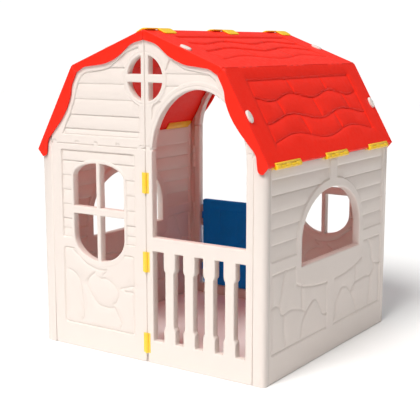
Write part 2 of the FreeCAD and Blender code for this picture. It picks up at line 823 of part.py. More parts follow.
def eave_wall_leaves(label, side):
    members = []
    x, z = side * EAVE_AXIS[0], EAVE_AXIS[1]
    for number, place in enumerate(EAVE_HINGE_PLACES):
        body = doc.addObject("PartDesign::Body", "%s_%d" % (label, number))
        odd, even = eave_spans(place)
        plate = [on_lower(-3, -22.6), on_lower(62, -22.6), on_lower(62, -19.2), on_lower(-3, -19.2)]
        pad_y(body, mirrored(polygon(plate), side), odd[0][0], odd[-1][1])
        foot = on_lower(-1.5, -21)
        run = unit(EAVE_AXIS, foot)
        across = (-run[1], run[0])
        arm = [add(EAVE_AXIS, across, 2.2), add(foot, across, 2.2),
               add(foot, across, -2.2), add(EAVE_AXIS, across, -2.2)]
        for span in even:
            pad_y(body, mirrored(polygon(arm), side), *span)
            pad_y(body, circle(x, z, size("hinge_barrel")), *span)
            pocket_y(body, circle(x, z, size("pin_fit")), *span)
        members.append(body)
    return group(label, members)


for side in (-1, 1):
    name = SIDE_WORD[side]
    eave_wall_leaves("%s_eave_wall_leaves" % name, side)
    eave_roof_leaves("%s_eave_roof_leaves" % name, side)
    cylinders("%s_eave_pins" % name,
              [(side * EAVE_AXIS[0], place, EAVE_AXIS[1], "Dimensions.pin_radius",
                size("eave_hinge_long") - 4, "y") for place in EAVE_HINGE_PLACES])
    cylinders("%s_knee_pins" % name,
              [(side * KNEE_AXIS[0], place, KNEE_AXIS[1], "Dimensions.knee_pin",
                KNEE_HINGE_LONG - 4, "y") for place in KNEE_HINGE_PLACES])


# ---------------------------------------------------------------- ridge hooks

HOOK_PLACES = (-375, 0, 375)


def ridge_hooks(label, side):
    """Yellow hooks beside the ridge. Each pair stands end to end and laps over the other half."""
    members = []
    thick = size("hook_thick")
    lap = 10
    reach = 34
    top = RIDGE[1] + 0.6
    end = (reach, RIDGE[1] - RIDGE_SLOPE * reach)
    outline = [(-lap, top), (HALF_GAP, top), (HALF_GAP, RIDGE[1] - HALF_GAP * RIDGE_SLOPE), end,
               (reach, end[1] + thick * 0.6), (6, top + thick), (-lap, top + thick)]
    for number, place in enumerate(HOOK_PLACES):
        body = doc.addObject("PartDesign::Body", "%s_%d" % (label, number))
        length = size("hook_long")
        start = place - length if side < 0 else place + 1
        pad_y(body, mirrored(polygon(outline), side), start, start + length - 1)
        members.append(body)
    return group(label, members)


ridge_hooks("ridge_hooks_left", -1)
ridge_hooks("ridge_hooks_right", 1)


# ---------------------------------------------------------------- half door

def half_door(label):
    """The low door in the back wall's doorway, hinged beside the left corner column."""
    body = new_body(label)
    gap = size("door_gap")
    x0 = -DOOR_AXIS_X + size("door_barrel") + 1.5
    x1 = -(size("arch_centre") - size("arch_half")) - gap
    z0 = size("threshold_height") + gap
    z1 = z0 + size("door_height")
    y1 = WALL_Y - 4
    y0 = y1 - size("door_thick")
    pad_y(body, rectangle(x0, z0, x1, z1), y0, y1)
    x, y = -DOOR_AXIS_X, DOOR_AXIS_Y
    half = size("door_knuckle") / 2
    barrel = size("door_barrel")
    for centre in DOOR_LUG_HEIGHTS:
        low, high = centre - half + 0.5, centre + half - 0.5
        pad_z(body, rectangle(x, y - barrel, x0 + 1, y + barrel * 0.5), low, high)
        pad_z(body, circle(x, y, barrel), low, high)
        pocket_z(body, circle(x, y, size("pin_fit")), low, high)
    return finish(label, body)


half_door("half_door")
cylinders("door_hinge_pins",
          [(-DOOR_AXIS_X, DOOR_AXIS_Y, z, "Dimensions.pin_radius",
            3 * size("door_knuckle") - 4, "z") for z in DOOR_LUG_HEIGHTS])


# ---------------------------------------------------------------- checks and files

doc.recompute()
for item in doc.Objects:
    if "Invalid" in item.State or "Error" in item.State:
        raise RuntimeError("%s failed: %s" % (item.Name, item.State))
os.makedirs("parts", exist_ok=True)
for label, thing in pieces:
    shape = thing.Shape
    if shape.isNull() or not shape.isValid():
        raise RuntimeError(label + " has no valid shape")
    shape.exportStep("parts/%s.step" % label)
    print("%-34s %2d solids %9.1f cm3" % (label, len(shape.Solids), shape.Volume / 1000))
print(len(pieces), "pieces")
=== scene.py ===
import json
import math
import bpy
import numpy as np
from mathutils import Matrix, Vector
from mathutils.geometry import delaunay_2d_cdt

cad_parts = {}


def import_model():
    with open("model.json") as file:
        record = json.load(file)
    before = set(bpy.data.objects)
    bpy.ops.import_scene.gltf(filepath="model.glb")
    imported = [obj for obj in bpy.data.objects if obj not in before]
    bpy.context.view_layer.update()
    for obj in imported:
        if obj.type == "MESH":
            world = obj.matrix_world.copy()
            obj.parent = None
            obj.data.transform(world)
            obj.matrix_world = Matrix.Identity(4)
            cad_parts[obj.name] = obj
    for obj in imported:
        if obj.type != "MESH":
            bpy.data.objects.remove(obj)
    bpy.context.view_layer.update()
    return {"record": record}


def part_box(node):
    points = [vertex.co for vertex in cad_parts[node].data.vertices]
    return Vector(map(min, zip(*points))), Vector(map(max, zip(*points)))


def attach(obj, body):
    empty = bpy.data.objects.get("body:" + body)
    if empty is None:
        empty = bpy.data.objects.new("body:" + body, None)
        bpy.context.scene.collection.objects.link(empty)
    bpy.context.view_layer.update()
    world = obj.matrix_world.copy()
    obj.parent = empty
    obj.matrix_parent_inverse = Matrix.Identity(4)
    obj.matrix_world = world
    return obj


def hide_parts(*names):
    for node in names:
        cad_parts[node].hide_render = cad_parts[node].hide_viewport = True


# A folding plastic playhouse. The moulded walls, gables, roof slabs and door are rebuilt here
# as closed mouldings with rounded edges and real relief. Lengths are in metres.

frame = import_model()


def node_box(name):
    low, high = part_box(name)
    return np.array(low), np.array(high)


# ------------------------------------------------------------------ sizes, from the frame

PANEL_LOW, PANEL_HIGH = node_box("front_right_panel")
WALL_Y = -PANEL_LOW[1]
SEAM_X = 0.406
SEAM_Z = PANEL_HIGH[2]
WALL_X = node_box("right_side_wall")[1][0]
PANEL_THICK = 0.028
SIDE_THICK = 0.030
INNER_Y = WALL_Y - PANEL_THICK
ROOF_Y = node_box("roof_right_upper")[1][1]
LIP_THICK = 0.0068
HALF_GAP = 0.0005

# The roof's outer surface on the right: ridge, knee and eave, as X and Z.
RIDGE = np.array((0.0, 1.085))
KNEE = np.array((0.300, 0.970))
EAVE = np.array((0.462, 0.683))
ROOF_THICK = 0.018
ROOF_CLEAR = 0.0015
KNEE_AXIS_DEPTH = 0.0043

# The front window, the arch and the gable's oval window.
WINDOW = dict(centre=0.201, half=0.109, low=0.316, high=0.648, spring_low=0.400, spring_high=0.600)
MULLION_HALF = 0.008
CROSSBAR = (0.472, 0.498)
ARCH = dict(centre=0.203, half=0.177, spring=0.690, rise=0.212)
RAIL_HIGH = 0.424
THRESHOLD = 0.038
OVAL = dict(half=0.070, rise=0.073, height=0.933)
OVAL_BAR = 0.015
OVAL_CROSSBAR = 0.013
SIDE_WINDOW = dict(half=0.212, low=0.338, spring=0.420, high=0.571)

GROOVE = 0.0070
GROOVE_DEPTH = 0.0034
FIELD_DEPTH = 0.0026
BOARD_STEP = 0.0022
RAMP = 0.004

# Spacing of the points along edges and grooves, and of the points that fill the space between.
EDGE_STEP, GROOVE_STEP, FILL_STEP = 0.010, 0.008, 0.030


# ------------------------------------------------------------------ plane geometry

def arc(centre, half_x, half_z, start, end, steps=24):
    angles = np.radians(np.linspace(start, end, steps))
    return np.column_stack((centre[0] + half_x * np.cos(angles), centre[1] + half_z * np.sin(angles)))


def resample(points, step):
    """The same line with a point about every step, corners kept."""
    points = np.asarray(points, float)
    result = [points[0]]
    for a, b in zip(points[:-1], points[1:]):
        count = max(1, int(math.ceil(np.linalg.norm(b - a) / step)))
        for i in range(1, count + 1):
            result.append(a + (b - a) * i / count)
    return np.array(result)


def curve_through(points, steps=8):
    """A Catmull-Rom curve through a few points."""
    p = np.asarray(points, float)
    p = np.vstack((2 * p[0] - p[1], p, 2 * p[-1] - p[-2]))
    result = []
    for i in range(1, len(p) - 2):
        for t in np.linspace(0, 1, steps, endpoint=False):
            result.append(0.5 * ((2 * p[i]) + (p[i + 1] - p[i - 1]) * t
                                 + (2 * p[i - 1] - 5 * p[i] + 4 * p[i + 1] - p[i + 2]) * t ** 2
                                 + (3 * p[i] - p[i - 1] - 3 * p[i + 1] + p[i + 2]) * t ** 3))
    result.append(p[-2])
    return np.array(result)


def closed(points):
    points = np.asarray(points, float)
    return np.vstack((points, points[:1]))


def distance(points, line):
    """Distance from each point to a polyline."""
    a, b = line[:-1], line[1:]
    ab = b - a
    length2 = np.maximum((ab ** 2).sum(1), 1e-18)
    best = np.full(len(points), np.inf)
    for start in range(0, len(points), 4000):
        p = points[start:start + 4000]
        t = ((p[:, None, :] - a[None]) * ab[None]).sum(2) / length2
        t = np.clip(t, 0, 1)
        near = a[None] + t[..., None] * ab[None]
        best[start:start + 4000] = np.sqrt(((p[:, None, :] - near) ** 2).sum(2)).min(1)
    return best


def inside(points, loop):
    a, b = loop[:-1], loop[1:]
    result = np.zeros(len(points), bool)
    for p, q in zip(a, b):
        if p[1] == q[1]:
            continue
        crosses = (p[1] > points[:, 1]) != (q[1] > points[:, 1])
        x = p[0] + (points[:, 1] - p[1]) * (q[0] - p[0]) / (q[1] - p[1])
        result ^= crosses & (points[:, 0] < x)
    return result


def signed(points, loop):
    """Distance to a closed loop, positive inside it."""
    return np.where(inside(points, loop), 1, -1) * distance(points, loop)


def ease(x):
    x = np.clip(x, 0, 1)
    return x * x * (3 - 2 * x)


def offset_lines(line, offsets, is_closed):
    """Lines beside a line, broken where they would come closer to it than they should."""
    tangent = np.gradient(line, axis=0)
    if is_closed:
        tangent[0] = tangent[-1] = (line[1] - line[0]) + (line[-1] - line[-2])
    tangent /= np.maximum(np.linalg.norm(tangent, axis=1), 1e-12)[:, None]
    normal = np.column_stack((-tangent[:, 1], tangent[:, 0]))
    result = []
    for offset in offsets:
        moved = line + normal * offset
        keep = distance(moved, line) > abs(offset) * 0.93 - 1e-9
        run = []
        for point, good in zip(moved, keep):
            if good:
                run.append(point)
                continue
            if len(run) > 1:
                result.append(np.array(run))
            run = []
        if len(run) > 1:
            result.append(np.array(run))
    return result


# ------------------------------------------------------------------ mouldings

class Relief:
    """What is moulded into a face: sunk fields, grooves, and any further shaping."""

    def __init__(self):
        self.grooves = []
        self.fields = []
        self.shape = None
        self.boards = []

    def groove(self, line, width=GROOVE, depth=GROOVE_DEPTH, within=None):
        self.grooves.append((resample(line, GROOVE_STEP), width / 2, depth, within))
        return self

    def field(self, loop, depth=FIELD_DEPTH, without=()):
        self.fields.append((resample(closed(loop), EDGE_STEP), depth,
                            [resample(closed(edge), GROOVE_STEP) for edge in without]))
        return self

    def siding(self, low, heights, high, left, right, within):
        """Boards between the heights, each sloping back towards the foot of the next one up."""
        self.boards.append(((low,) + tuple(heights) + (high,), within))
        for z in heights:
            self.groove([(left, z), (right, z)], within=within)
        return self

    def lines(self):
        result = []
        for line, half, _, _ in self.grooves:
            result.append(line)
            beside, flank = half + 0.0015, half * 0.62
            result += offset_lines(line, (-beside, -flank, flank, beside), False)
        for loop, _, without in self.fields:
            for edge in [loop] + without:
                result += offset_lines(edge, (-RAMP * 0.9, -RAMP * 0.35, RAMP * 0.35, RAMP * 0.9), True)
        return result

    def mask(self, points, index):
        loop, _, without = self.fields[index]
        near = signed(points, loop)
        for edge in without:
            near = np.minimum(near, -signed(points, edge))
        return ease(near / RAMP + 0.5)

    def height(self, points):
        result = np.zeros(len(points))
        masks = [self.mask(points, i) for i in range(len(self.fields))]
        for mask, (_, depth, _) in zip(masks, self.fields):
            result -= depth * mask
        cut = np.zeros(len(points))
        for line, half, depth, within in self.grooves:
            d = distance(points, line)
            profile = depth * (1 - ease(d / half))
            if within is not None:
                profile = profile * masks[within]
            cut = np.maximum(cut, profile)
        result -= cut
        for heights, within in self.boards:
            z = points[:, 1]
            for low, high in zip(heights[:-1], heights[1:]):
                share = (z - low) / (high - low)
                result -= BOARD_STEP * masks[within] * np.where((share >= 0) & (share < 1), share, 0)
        if self.shape is not None:
            result += self.shape(points)
        return result


def rounding(near, radius):
    """How far a rounded edge falls away at a given distance from the edge."""
    gap = np.clip(radius - near, 0, radius)
    return radius - np.sqrt(np.maximum(radius ** 2 - gap ** 2, 0))


def moulding(name, loops, place, thick, relief=None, back=None, radius=0.004, square=None, mesh=None):
    """A closed double-faced moulding. loops are its outline and holes in a plane, place turns
    points and depths into X, Y and Z, and square says which edge points stay unrounded."""
    relief = relief or Relief()
    edges_list = [resample(closed(loop), EDGE_STEP) for loop in loops]
    lines = []
    for loop in edges_list:
        rings = (radius * 0.12, radius * 0.45, radius, radius + 0.002)
        lines += offset_lines(loop, [s * r for r in rings for s in (-1, 1)], True)
    lines += relief.lines()
    if back is not None and back is not relief:
        lines += back.lines()
    low, high = edges_list[0].min(0), edges_list[0].max(0)
    coords, edges = [], []

    def add(line, ring):
        start = len(coords)
        coords.extend(line)
        count = len(line)
        edges.extend((start + i, start + i + 1) for i in range(count - 1))
        if ring:
            edges.append((start + count - 1, start))

    for loop in edges_list:
        add(loop[:-1], True)
    for line in lines:
        add(line, False)
    across, up = (np.arange(low[i] + FILL_STEP / 2, high[i], FILL_STEP) for i in (0, 1))
    fill = np.column_stack([axis.ravel() for axis in np.meshgrid(across, up)])
    known = np.array(coords)
    far = np.array([np.min(((known - p) ** 2).sum(1)) > EDGE_STEP ** 2 for p in fill])
    coords.extend(fill[far])
    verts, _, faces, *_ = delaunay_2d_cdt([Vector(c) for c in coords], edges, [], 0, 2e-5, False)
    points = np.array([(v[0], v[1]) for v in verts])
    tris = np.array([f for f in faces if len(f) == 3])
    middle = points[tris].mean(1)
    solid = inside(middle, edges_list[0])
    for hole in edges_list[1:]:
        solid &= ~inside(middle, hole)
    corner, second, third = (points[tris[:, i]] for i in range(3))
    area = np.cross(second - corner, third - corner)
    tris = tris[solid]
    area = area[solid]
    tris[area < 0] = tris[area < 0][:, ::-1]
    used, inverse = np.unique(tris, return_inverse=True)
    points, tris = points[used], inverse.reshape(-1, 3)

    near = np.full(len(points), np.inf)
    for loop in edges_list:
        near = np.minimum(near, distance(points, loop))
    if square is not None:
        near = np.where(square(points), radius, near)
    fall = rounding(near, radius)
    front = -relief.height(points) + fall
    rear = thick - fall
    if back is not None:
        rear = rear + back.height(points)
    front = np.where(fall >= radius * 0.98, fall, front)
    top = place(points, front)
    bottom = place(points, rear)
    count = len(points)
    directed = {}
    for a, b, c in tris:
        for e in ((a, b), (b, c), (c, a)):
            directed[e] = True
    rim = [(a, b) for (a, b) in directed if (b, a) not in directed]
    result = [tuple(t) for t in tris]
    result += [(c + count, b + count, a + count) for a, b, c in tris]
    result += [(a, a + count, b + count, b) for a, b in rim]
    return make_mesh(name, np.vstack((top, bottom)), result, mesh)


def make_mesh(name, verts, faces, join=None):
    """A mesh object with outward normals, or more geometry for one that exists."""
    import bmesh
    mesh = bpy.data.meshes.new(name)
    mesh.from_pydata([tuple(v) for v in verts], [], [tuple(int(i) for i in f) for f in faces])
    bm = bmesh.new()
    bm.from_mesh(mesh)
    bmesh.ops.recalc_face_normals(bm, faces=bm.faces)
    for face in bm.faces:
        face.smooth = True
    if join is not None:
        bm.to_mesh(mesh)
        bm.free()
        both = bmesh.new()
        both.from_mesh(join.data)
        both.from_mesh(mesh)
        both.to_mesh(join.data)
        both.free()
        bpy.data.meshes.remove(mesh)
        return join
    bm.to_mesh(mesh)
    bm.free()
    obj = bpy.data.objects.new(name, mesh)
    bpy.context.scene.collection.objects.link(obj)
    return obj


def stacked(name, rows, join=None):
    """A closed solid through rings of points, with its first and last rings filled."""
    count = len(rows[0])
    faces = [tuple(range(count)), tuple((len(rows) - 1) * count + i for i in range(count))]
    for start in range(0, (len(rows) - 1) * count, count):
        for i in range(count):
            j = (i + 1) % count
            faces.append((start + i, start + j, start + count + j, start + count + i))
    return make_mesh(name, np.vstack(rows), faces, join)


def prism(name, outline, start, stop, bevel, join=None, place=np.column_stack, share=0.3):
    """A prism with bevelled ends, upright unless place turns its columns into X, Y and Z. share
    is how much of the bevel's width is left at three tenths of its height."""
    outline = np.asarray(outline, float)
    centre = outline.mean(0)
    out = outline - centre
    size = np.maximum(np.linalg.norm(out, axis=1), 1e-9)[:, None]
    rows = []
    for height, shrink in ((start, bevel), (start + bevel * 0.3, bevel * share), (start + bevel, 0),
                           (stop - bevel, 0), (stop - bevel * 0.3, bevel * share), (stop, bevel)):
        ring = centre + out * (1 - shrink / size)
        rows.append(place((ring[:, 0], ring[:, 1], np.full(len(ring), height))))
    return stacked(name, rows, join)


def barrel(name, x, y, z0, z1, radius, join=None):
    return prism(name, arc((x, y), radius, radius, 0, 360 - 15, 24), z0, z1, 0.0008, join)


def along_y(side):
    """Turns a prism's outline in X and Z so that it runs along Y."""
    return lambda columns: np.column_stack((side * columns[0], columns[2], columns[1]))


# ------------------------------------------------------------------ materials

def plastic(name, colour, rough=0.42, bump=0.25, vary=0.04, wear=0.25, grain=900.0, shine=0.5, through=0.0):
    """Moulded plastic: faint cloudiness, fine orange-peel grain, uneven gloss and rubbed edges."""
    mat = bpy.data.materials.new(name)
    mat.use_nodes = True
    nodes, links = mat.node_tree.nodes, mat.node_tree.links
    shader = nodes["Principled BSDF"]
    shader.inputs["Specular IOR Level"].default_value = shine
    shader.inputs["Subsurface Weight"].default_value = through
    shader.inputs["Subsurface Radius"].default_value = (0.012, 0.008, 0.006)
    shader.inputs["Subsurface Scale"].default_value = 0.4
    where = nodes.new("ShaderNodeTexCoord")

    def noise(scale, detail, rough_value):
        node = nodes.new("ShaderNodeTexNoise")
        node.inputs["Scale"].default_value = scale
        node.inputs["Detail"].default_value = detail
        node.inputs["Roughness"].default_value = rough_value
        links.new(where.outputs["Object"], node.inputs["Vector"])
        return node.outputs["Fac"]

    cloud = noise(3.2, 4.0, 0.6)
    speck = noise(60.0, 3.0, 0.55)
    skin = noise(grain, 2.0, 0.5)

    def shade(factor):
        return tuple(min(1.0, c * factor) for c in colour) + (1.0,)

    tint = nodes.new("ShaderNodeMix")
    tint.data_type = "RGBA"
    tint.inputs["A"].default_value = shade(1 - vary)
    tint.inputs["B"].default_value = shade(1 + vary)
    links.new(cloud, tint.inputs["Factor"])
    edge = nodes.new("ShaderNodeNewGeometry")
    rub = nodes.new("ShaderNodeMapRange")
    rub.inputs["From Min"].default_value = 0.52
    rub.inputs["From Max"].default_value = 0.62
    rub.inputs["To Max"].default_value = wear
    links.new(edge.outputs["Pointiness"], rub.inputs["Value"])
    patch = nodes.new("ShaderNodeMath")
    patch.operation = "MULTIPLY"
    links.new(rub.outputs["Result"], patch.inputs[0])
    links.new(speck, patch.inputs[1])
    worn = nodes.new("ShaderNodeMix")
    worn.data_type = "RGBA"
    worn.inputs["B"].default_value = tuple(0.55 * c + 0.40 for c in colour) + (1.0,)
    links.new(patch.outputs["Value"], worn.inputs["Factor"])
    links.new(tint.outputs["Result"], worn.inputs["A"])
    links.new(worn.outputs["Result"], shader.inputs["Base Color"])
    gloss = nodes.new("ShaderNodeMapRange")
    gloss.inputs["From Min"].default_value = 0.3
    gloss.inputs["From Max"].default_value = 0.7
    gloss.inputs["To Min"].default_value = rough - 0.06
    gloss.inputs["To Max"].default_value = rough + 0.08
    links.new(speck, gloss.inputs["Value"])
    links.new(gloss.outputs["Result"], shader.inputs["Roughness"])
    peel = nodes.new("ShaderNodeBump")
    peel.inputs["Strength"].default_value = bump
    peel.inputs["Distance"].default_value = 0.0006
    links.new(skin, peel.inputs["Height"])
    wave = nodes.new("ShaderNodeBump")
    wave.inputs["Strength"].default_value = 0.25
    wave.inputs["Distance"].default_value = 0.0025
    links.new(noise(9.0, 1.0, 0.4), wave.inputs["Height"])
    links.new(peel.outputs["Normal"], wave.inputs["Normal"])
    links.new(wave.outputs["Normal"], shader.inputs["Normal"])
    return mat


def steel(name):
    mat = plastic(name, (0.55, 0.55, 0.54), rough=0.35, bump=0.1, wear=0.1)
    mat.node_tree.nodes["Principled BSDF"].inputs["Metallic"].default_value = 1.0
    return mat


WHITE = plastic("white_plastic", (0.770, 0.690, 0.640), rough=0.46, shine=0.3, vary=0.02, wear=0.3)
RED = plastic("red_plastic", (0.95, 0.018, 0.004), rough=0.48, shine=0.22, vary=0.05, wear=0.14)
YELLOW = plastic("yellow_plastic", (0.98, 0.60, 0.0), rough=0.34, vary=0.04, wear=0.2)
BLUE = plastic("blue_plastic", (0.0, 0.26, 0.90), rough=0.48, shine=0.2, vary=0.06, wear=0.15)
STEEL = steel("steel")
FINISH = {"white_plastic": WHITE, "red_plastic": RED, "yellow_plastic": YELLOW,
          "blue_plastic": BLUE, "steel": STEEL}


def dress(obj, body, slot, *nodes):
    obj.data.materials.clear()
    obj.data.materials.append(FINISH[slot])
    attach(obj, body)
    if nodes:
        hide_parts(*nodes)


# ------------------------------------------------------------------ window and arch outlines

def pane(centre, half, spring, rise, side, up, bar_half, bar_edge):
    """One pane between the bars and the rounded rim, as a closed outline."""
    turn = math.degrees(math.acos(bar_half / half))
    lift = max(0.0, up * (bar_edge - spring) / rise)
    angles = np.radians(np.linspace(math.degrees(math.asin(lift)), turn, 16))
    rim = np.column_stack((centre + side * half * np.cos(angles), spring + up * rise * np.sin(angles)))
    points = list(rim) + [(centre + side * bar_half, bar_edge)]
    if lift == 0:
        points.append((rim[0][0], bar_edge))
    return np.array(points)


def window_panes():
    result = []
    for side in (-1, 1):
        for up in (-1, 1):
            end, bar_edge = ("high", CROSSBAR[1]) if up > 0 else ("low", CROSSBAR[0])
            spring = WINDOW["spring_" + end]
            result.append(pane(WINDOW["centre"], WINDOW["half"], spring, abs(WINDOW[end] - spring), side, up,
                               MULLION_HALF, bar_edge))
    return result


def window_ring(grow):
    """The oval around the front window, grown by a margin."""
    w = WINDOW
    half = w["half"] + grow
    top = arc((w["centre"], w["spring_high"]), half, w["high"] - w["spring_high"] + grow, 0, 180)
    low = arc((w["centre"], w["spring_low"]), half, w["spring_low"] - w["low"] + grow, 180, 360)
    return np.vstack((top, low))


def arch_line(grow=0.0, start=0, end=180):
    return arc((ARCH["centre"], ARCH["spring"]), ARCH["half"] + grow, ARCH["rise"] + grow, start, end, 48)


def arch_at(z):
    """Half the arch's width at a height above its spring."""
    return ARCH["half"] * math.sqrt(1 - ((z - ARCH["spring"]) / ARCH["rise"]) ** 2)


def side_window_loop(grow=0.0):
    w = SIDE_WINDOW
    half = w["half"] + grow
    head = arc((0, w["spring"]), half, w["high"] - w["spring"] + grow, 0, 180, 48)
    return np.vstack((head, [(-half, w["low"] - grow), (half, w["low"] - grow)]))


def box_loop(x0, z0, x1, z1):
    return np.array([(x0, z0), (x1, z0), (x1, z1), (x0, z1)])


def soft_box(x0, z0, x1, z1, radius):
    corners = [((x1 - radius, z0 + radius), 270), ((x1 - radius, z1 - radius), 0),
               ((x0 + radius, z1 - radius), 90), ((x0 + radius, z0 + radius), 180)]
    return np.vstack([arc(c, radius, radius, a, a + 90, 6) for c, a in corners])


# ------------------------------------------------------------------ front and back walls

def wall_place(side, end):
    """Places points of a front or back half. u runs out from the centre seam."""
    def place(points, depth):
        return np.column_stack((side * points[:, 0], end * (WALL_Y - depth), points[:, 1]))
    return place


def window_relief():
    """Boards around and above the window, and stones under it."""
    relief = Relief()
    ring = window_ring(0.011)
    relief.field(soft_box(0.045, 0.385, 0.362, 0.688, 0.006), without=[ring])
    relief.siding(0.385, (0.416, 0.450, 0.500, 0.550, 0.600, 0.650), 0.688, 0.045, 0.362, 0)
    relief.groove(closed(soft_box(0.0465, 0.3865, 0.3605, 0.6865, 0.005)), width=0.0065, depth=0.0026,
                  within=0)
    relief.field(soft_box(0.050, 0.080, 0.362, 0.352, 0.012), depth=0.0010, without=[window_ring(0.018)])
    relief.groove(closed(soft_box(0.054, 0.084, 0.358, 0.348, 0.010)), width=0.0095, depth=0.0040, within=1)
    stones = [
        [(0.316, 0.340), (0.290, 0.322), (0.266, 0.304), (0.239, 0.293), (0.212, 0.287), (0.184, 0.286)],
        [(0.331, 0.271), (0.313, 0.262), (0.296, 0.244), (0.287, 0.220), (0.281, 0.184),
         (0.277, 0.142), (0.275, 0.112), (0.284, 0.100)],
        [(0.182, 0.286), (0.172, 0.289), (0.176, 0.280), (0.185, 0.273)],
        [(0.254, 0.247), (0.239, 0.262), (0.223, 0.273)],
        [(0.197, 0.256), (0.176, 0.259), (0.152, 0.250), (0.134, 0.235), (0.121, 0.214),
         (0.123, 0.199), (0.134, 0.181), (0.143, 0.177)],
        [(0.259, 0.226), (0.245, 0.205), (0.224, 0.178), (0.206, 0.164), (0.182, 0.160),
         (0.158, 0.160), (0.140, 0.163), (0.125, 0.139), (0.110, 0.112), (0.113, 0.100)],
        [(0.050, 0.250), (0.062, 0.247), (0.104, 0.235)],
        [(0.092, 0.226), (0.062, 0.226), (0.050, 0.215)],
    ]
    for line in stones:
        relief.groove(curve_through(line), width=0.0105, depth=0.0046)
    return relief


def wall_outline(kind):
    x0, x1 = HALF_GAP, SEAM_X - HALF_GAP
    notch, notch_tall = 0.0020, 0.028
    if kind == "window":
        return [np.array([(x0 + notch, 0), (x1, 0), (x1, SEAM_Z), (x0, SEAM_Z), (x0, notch_tall),
                          (x0 + notch, notch_tall - notch)])] + window_panes()
    sill = RAIL_HIGH if kind == "fence" else THRESHOLD
    left, right = ARCH["centre"] - ARCH["half"], ARCH["centre"] + ARCH["half"]
    reach = arch_at(SEAM_Z)
    outline = [(x0 + notch, 0), (x1, 0), (x1, SEAM_Z), (ARCH["centre"] + reach, SEAM_Z),
               (right, ARCH["spring"]), (right, sill), (left, sill), (left, ARCH["spring"]),
               (ARCH["centre"] - reach, SEAM_Z),
               (x0, SEAM_Z), (x0, notch_tall), (x0 + notch, notch_tall - notch)]
    return [np.array(outline)] + (fence_gaps() if kind == "fence" else [])


FENCE = dict(low=0.078, high=0.378, first=0.0915, pitch=0.0766, wide=0.045, slim=0.033,
             step_low=0.129, step_high=0.318)


def fence_gaps():
    f = FENCE
    left, right = ARCH["centre"] - ARCH["half"], ARCH["centre"] + ARCH["half"]
    centres = [f["first"] + i * f["pitch"] for i in range(4)]
    edges = [left] + [c + s * f["wide"] / 2 for c in centres for s in (-1, 1)] + [right]
    inset = (f["wide"] - f["slim"]) / 2
    slope = 0.004
    result = []
    for number, (x0, x1) in enumerate(zip(edges[0::2], edges[1::2])):
        a = 0 if number == 0 else inset
        b = 0 if number == 4 else inset
        right_edge = [(x1, f["low"]), (x1, f["step_low"] - slope), (x1 + b, f["step_low"] + slope),
                      (x1 + b, f["step_high"] - slope), (x1, f["step_high"] + slope), (x1, f["high"])]
        left_edge = [(x0, f["high"]), (x0, f["step_high"] + slope), (x0 - a, f["step_high"] - slope),
                     (x0 - a, f["step_low"] + slope), (x0, f["step_low"] - slope), (x0, f["low"])]
        outline = right_edge + left_edge
        kept = [p for p, q in zip(outline, outline[1:] + outline[:1]) if math.dist(p, q) > 1e-6]
        result.append(np.array(kept))
    return result


CORNER_HEIGHTS = (0.100, 0.340, 0.580)
CORNER_TALL = 0.090


def wall_half(name, body, side, end, kind):
    relief = window_relief() if kind == "window" else Relief()
    obj = moulding(name + "_shell", wall_outline(kind), wall_place(side, end), PANEL_THICK, relief,
                   relief if kind == "window" else None, radius=0.0035)
    for z in CORNER_HEIGHTS:
        barrel(name, side * SEAM_X, end * (INNER_Y - 0.001), z - CORNER_TALL / 6, z + CORNER_TALL / 6,
               0.0064, obj)
    if kind == "doorway":
        door_eyes(obj)
    dress(obj, body, "white_plastic", name)
    return obj


DOOR_AXIS = (-(ARCH["centre"] + ARCH["half"] - 0.006), WALL_Y - 0.007)
DOOR_EYE_HEIGHTS = (0.110, 0.330)
DOOR_EYE, DOOR_KNUCKLE = 0.006, 0.0057


def door_eyes(obj):
    x, y = DOOR_AXIS
    jamb = -(ARCH["centre"] + ARCH["half"] + 0.002)
    for z in DOOR_EYE_HEIGHTS:
        for low in (z - 0.045, z + 0.015):
            root = [(jamb, y + DOOR_EYE), (jamb, y - DOOR_EYE)]
            outline = np.vstack((arc((x, y), DOOR_EYE, DOOR_EYE, -90, 90, 10), root))
            prism("eye", outline, low + 0.0005, low + 0.0295, 0.0008, obj)


wall_half("front_left_panel", "front_left", -1, -1, "window")
wall_half("front_right_panel", "front_right", 1, -1, "fence")
wall_half("back_left_panel", "back_left", -1, 1, "doorway")
wall_half("back_right_panel", "back_right", 1, 1, "window")


# ------------------------------------------------------------------ roof lines and gables

def unit(p, q):
    return (q - p) / np.linalg.norm(q - p)


UP_LOWER, UP_UPPER = unit(EAVE, KNEE), unit(KNEE, RIDGE)
OUT_LOWER = np.array((UP_LOWER[1], -UP_LOWER[0]))
OUT_UPPER = np.array((UP_UPPER[1], -UP_UPPER[0]))
BISECTOR = (OUT_LOWER + OUT_UPPER) / (1 + OUT_LOWER @ OUT_UPPER)
LOWER_LONG = np.linalg.norm(KNEE - EAVE)
UPPER_LONG = np.linalg.norm(RIDGE - KNEE)
KNEE_TAN = math.tan(math.acos(OUT_LOWER @ OUT_UPPER) / 2)
RIDGE_TAN = UP_UPPER[1] / -UP_UPPER[0]


def gable_outline(arched):
    depth = ROOF_THICK + ROOF_CLEAR
    eave = EAVE - OUT_LOWER * depth
    knee = KNEE - BISECTOR * depth
    z_ridge = RIDGE[1] - depth / OUT_UPPER[1]
    x0, x1 = HALF_GAP, SEAM_X - HALF_GAP
    z_side = knee[1] - (x1 - knee[0]) * (knee[1] - eave[1]) / (eave[0] - knee[0])
    foot = SEAM_Z + 0.0003
    outline = [(x1, foot), (x1, z_side), tuple(knee), (x0, z_ridge - x0 * RIDGE_TAN), (x0, foot)]
    if not arched:
        return np.array(outline)
    reach = math.degrees(math.asin((foot - ARCH["spring"]) / ARCH["rise"]))
    return np.vstack((outline, arch_line(0, 180 - reach, reach)))


PEG_PLACES = (0.0135, 0.114, 0.207, 0.290, 0.392)


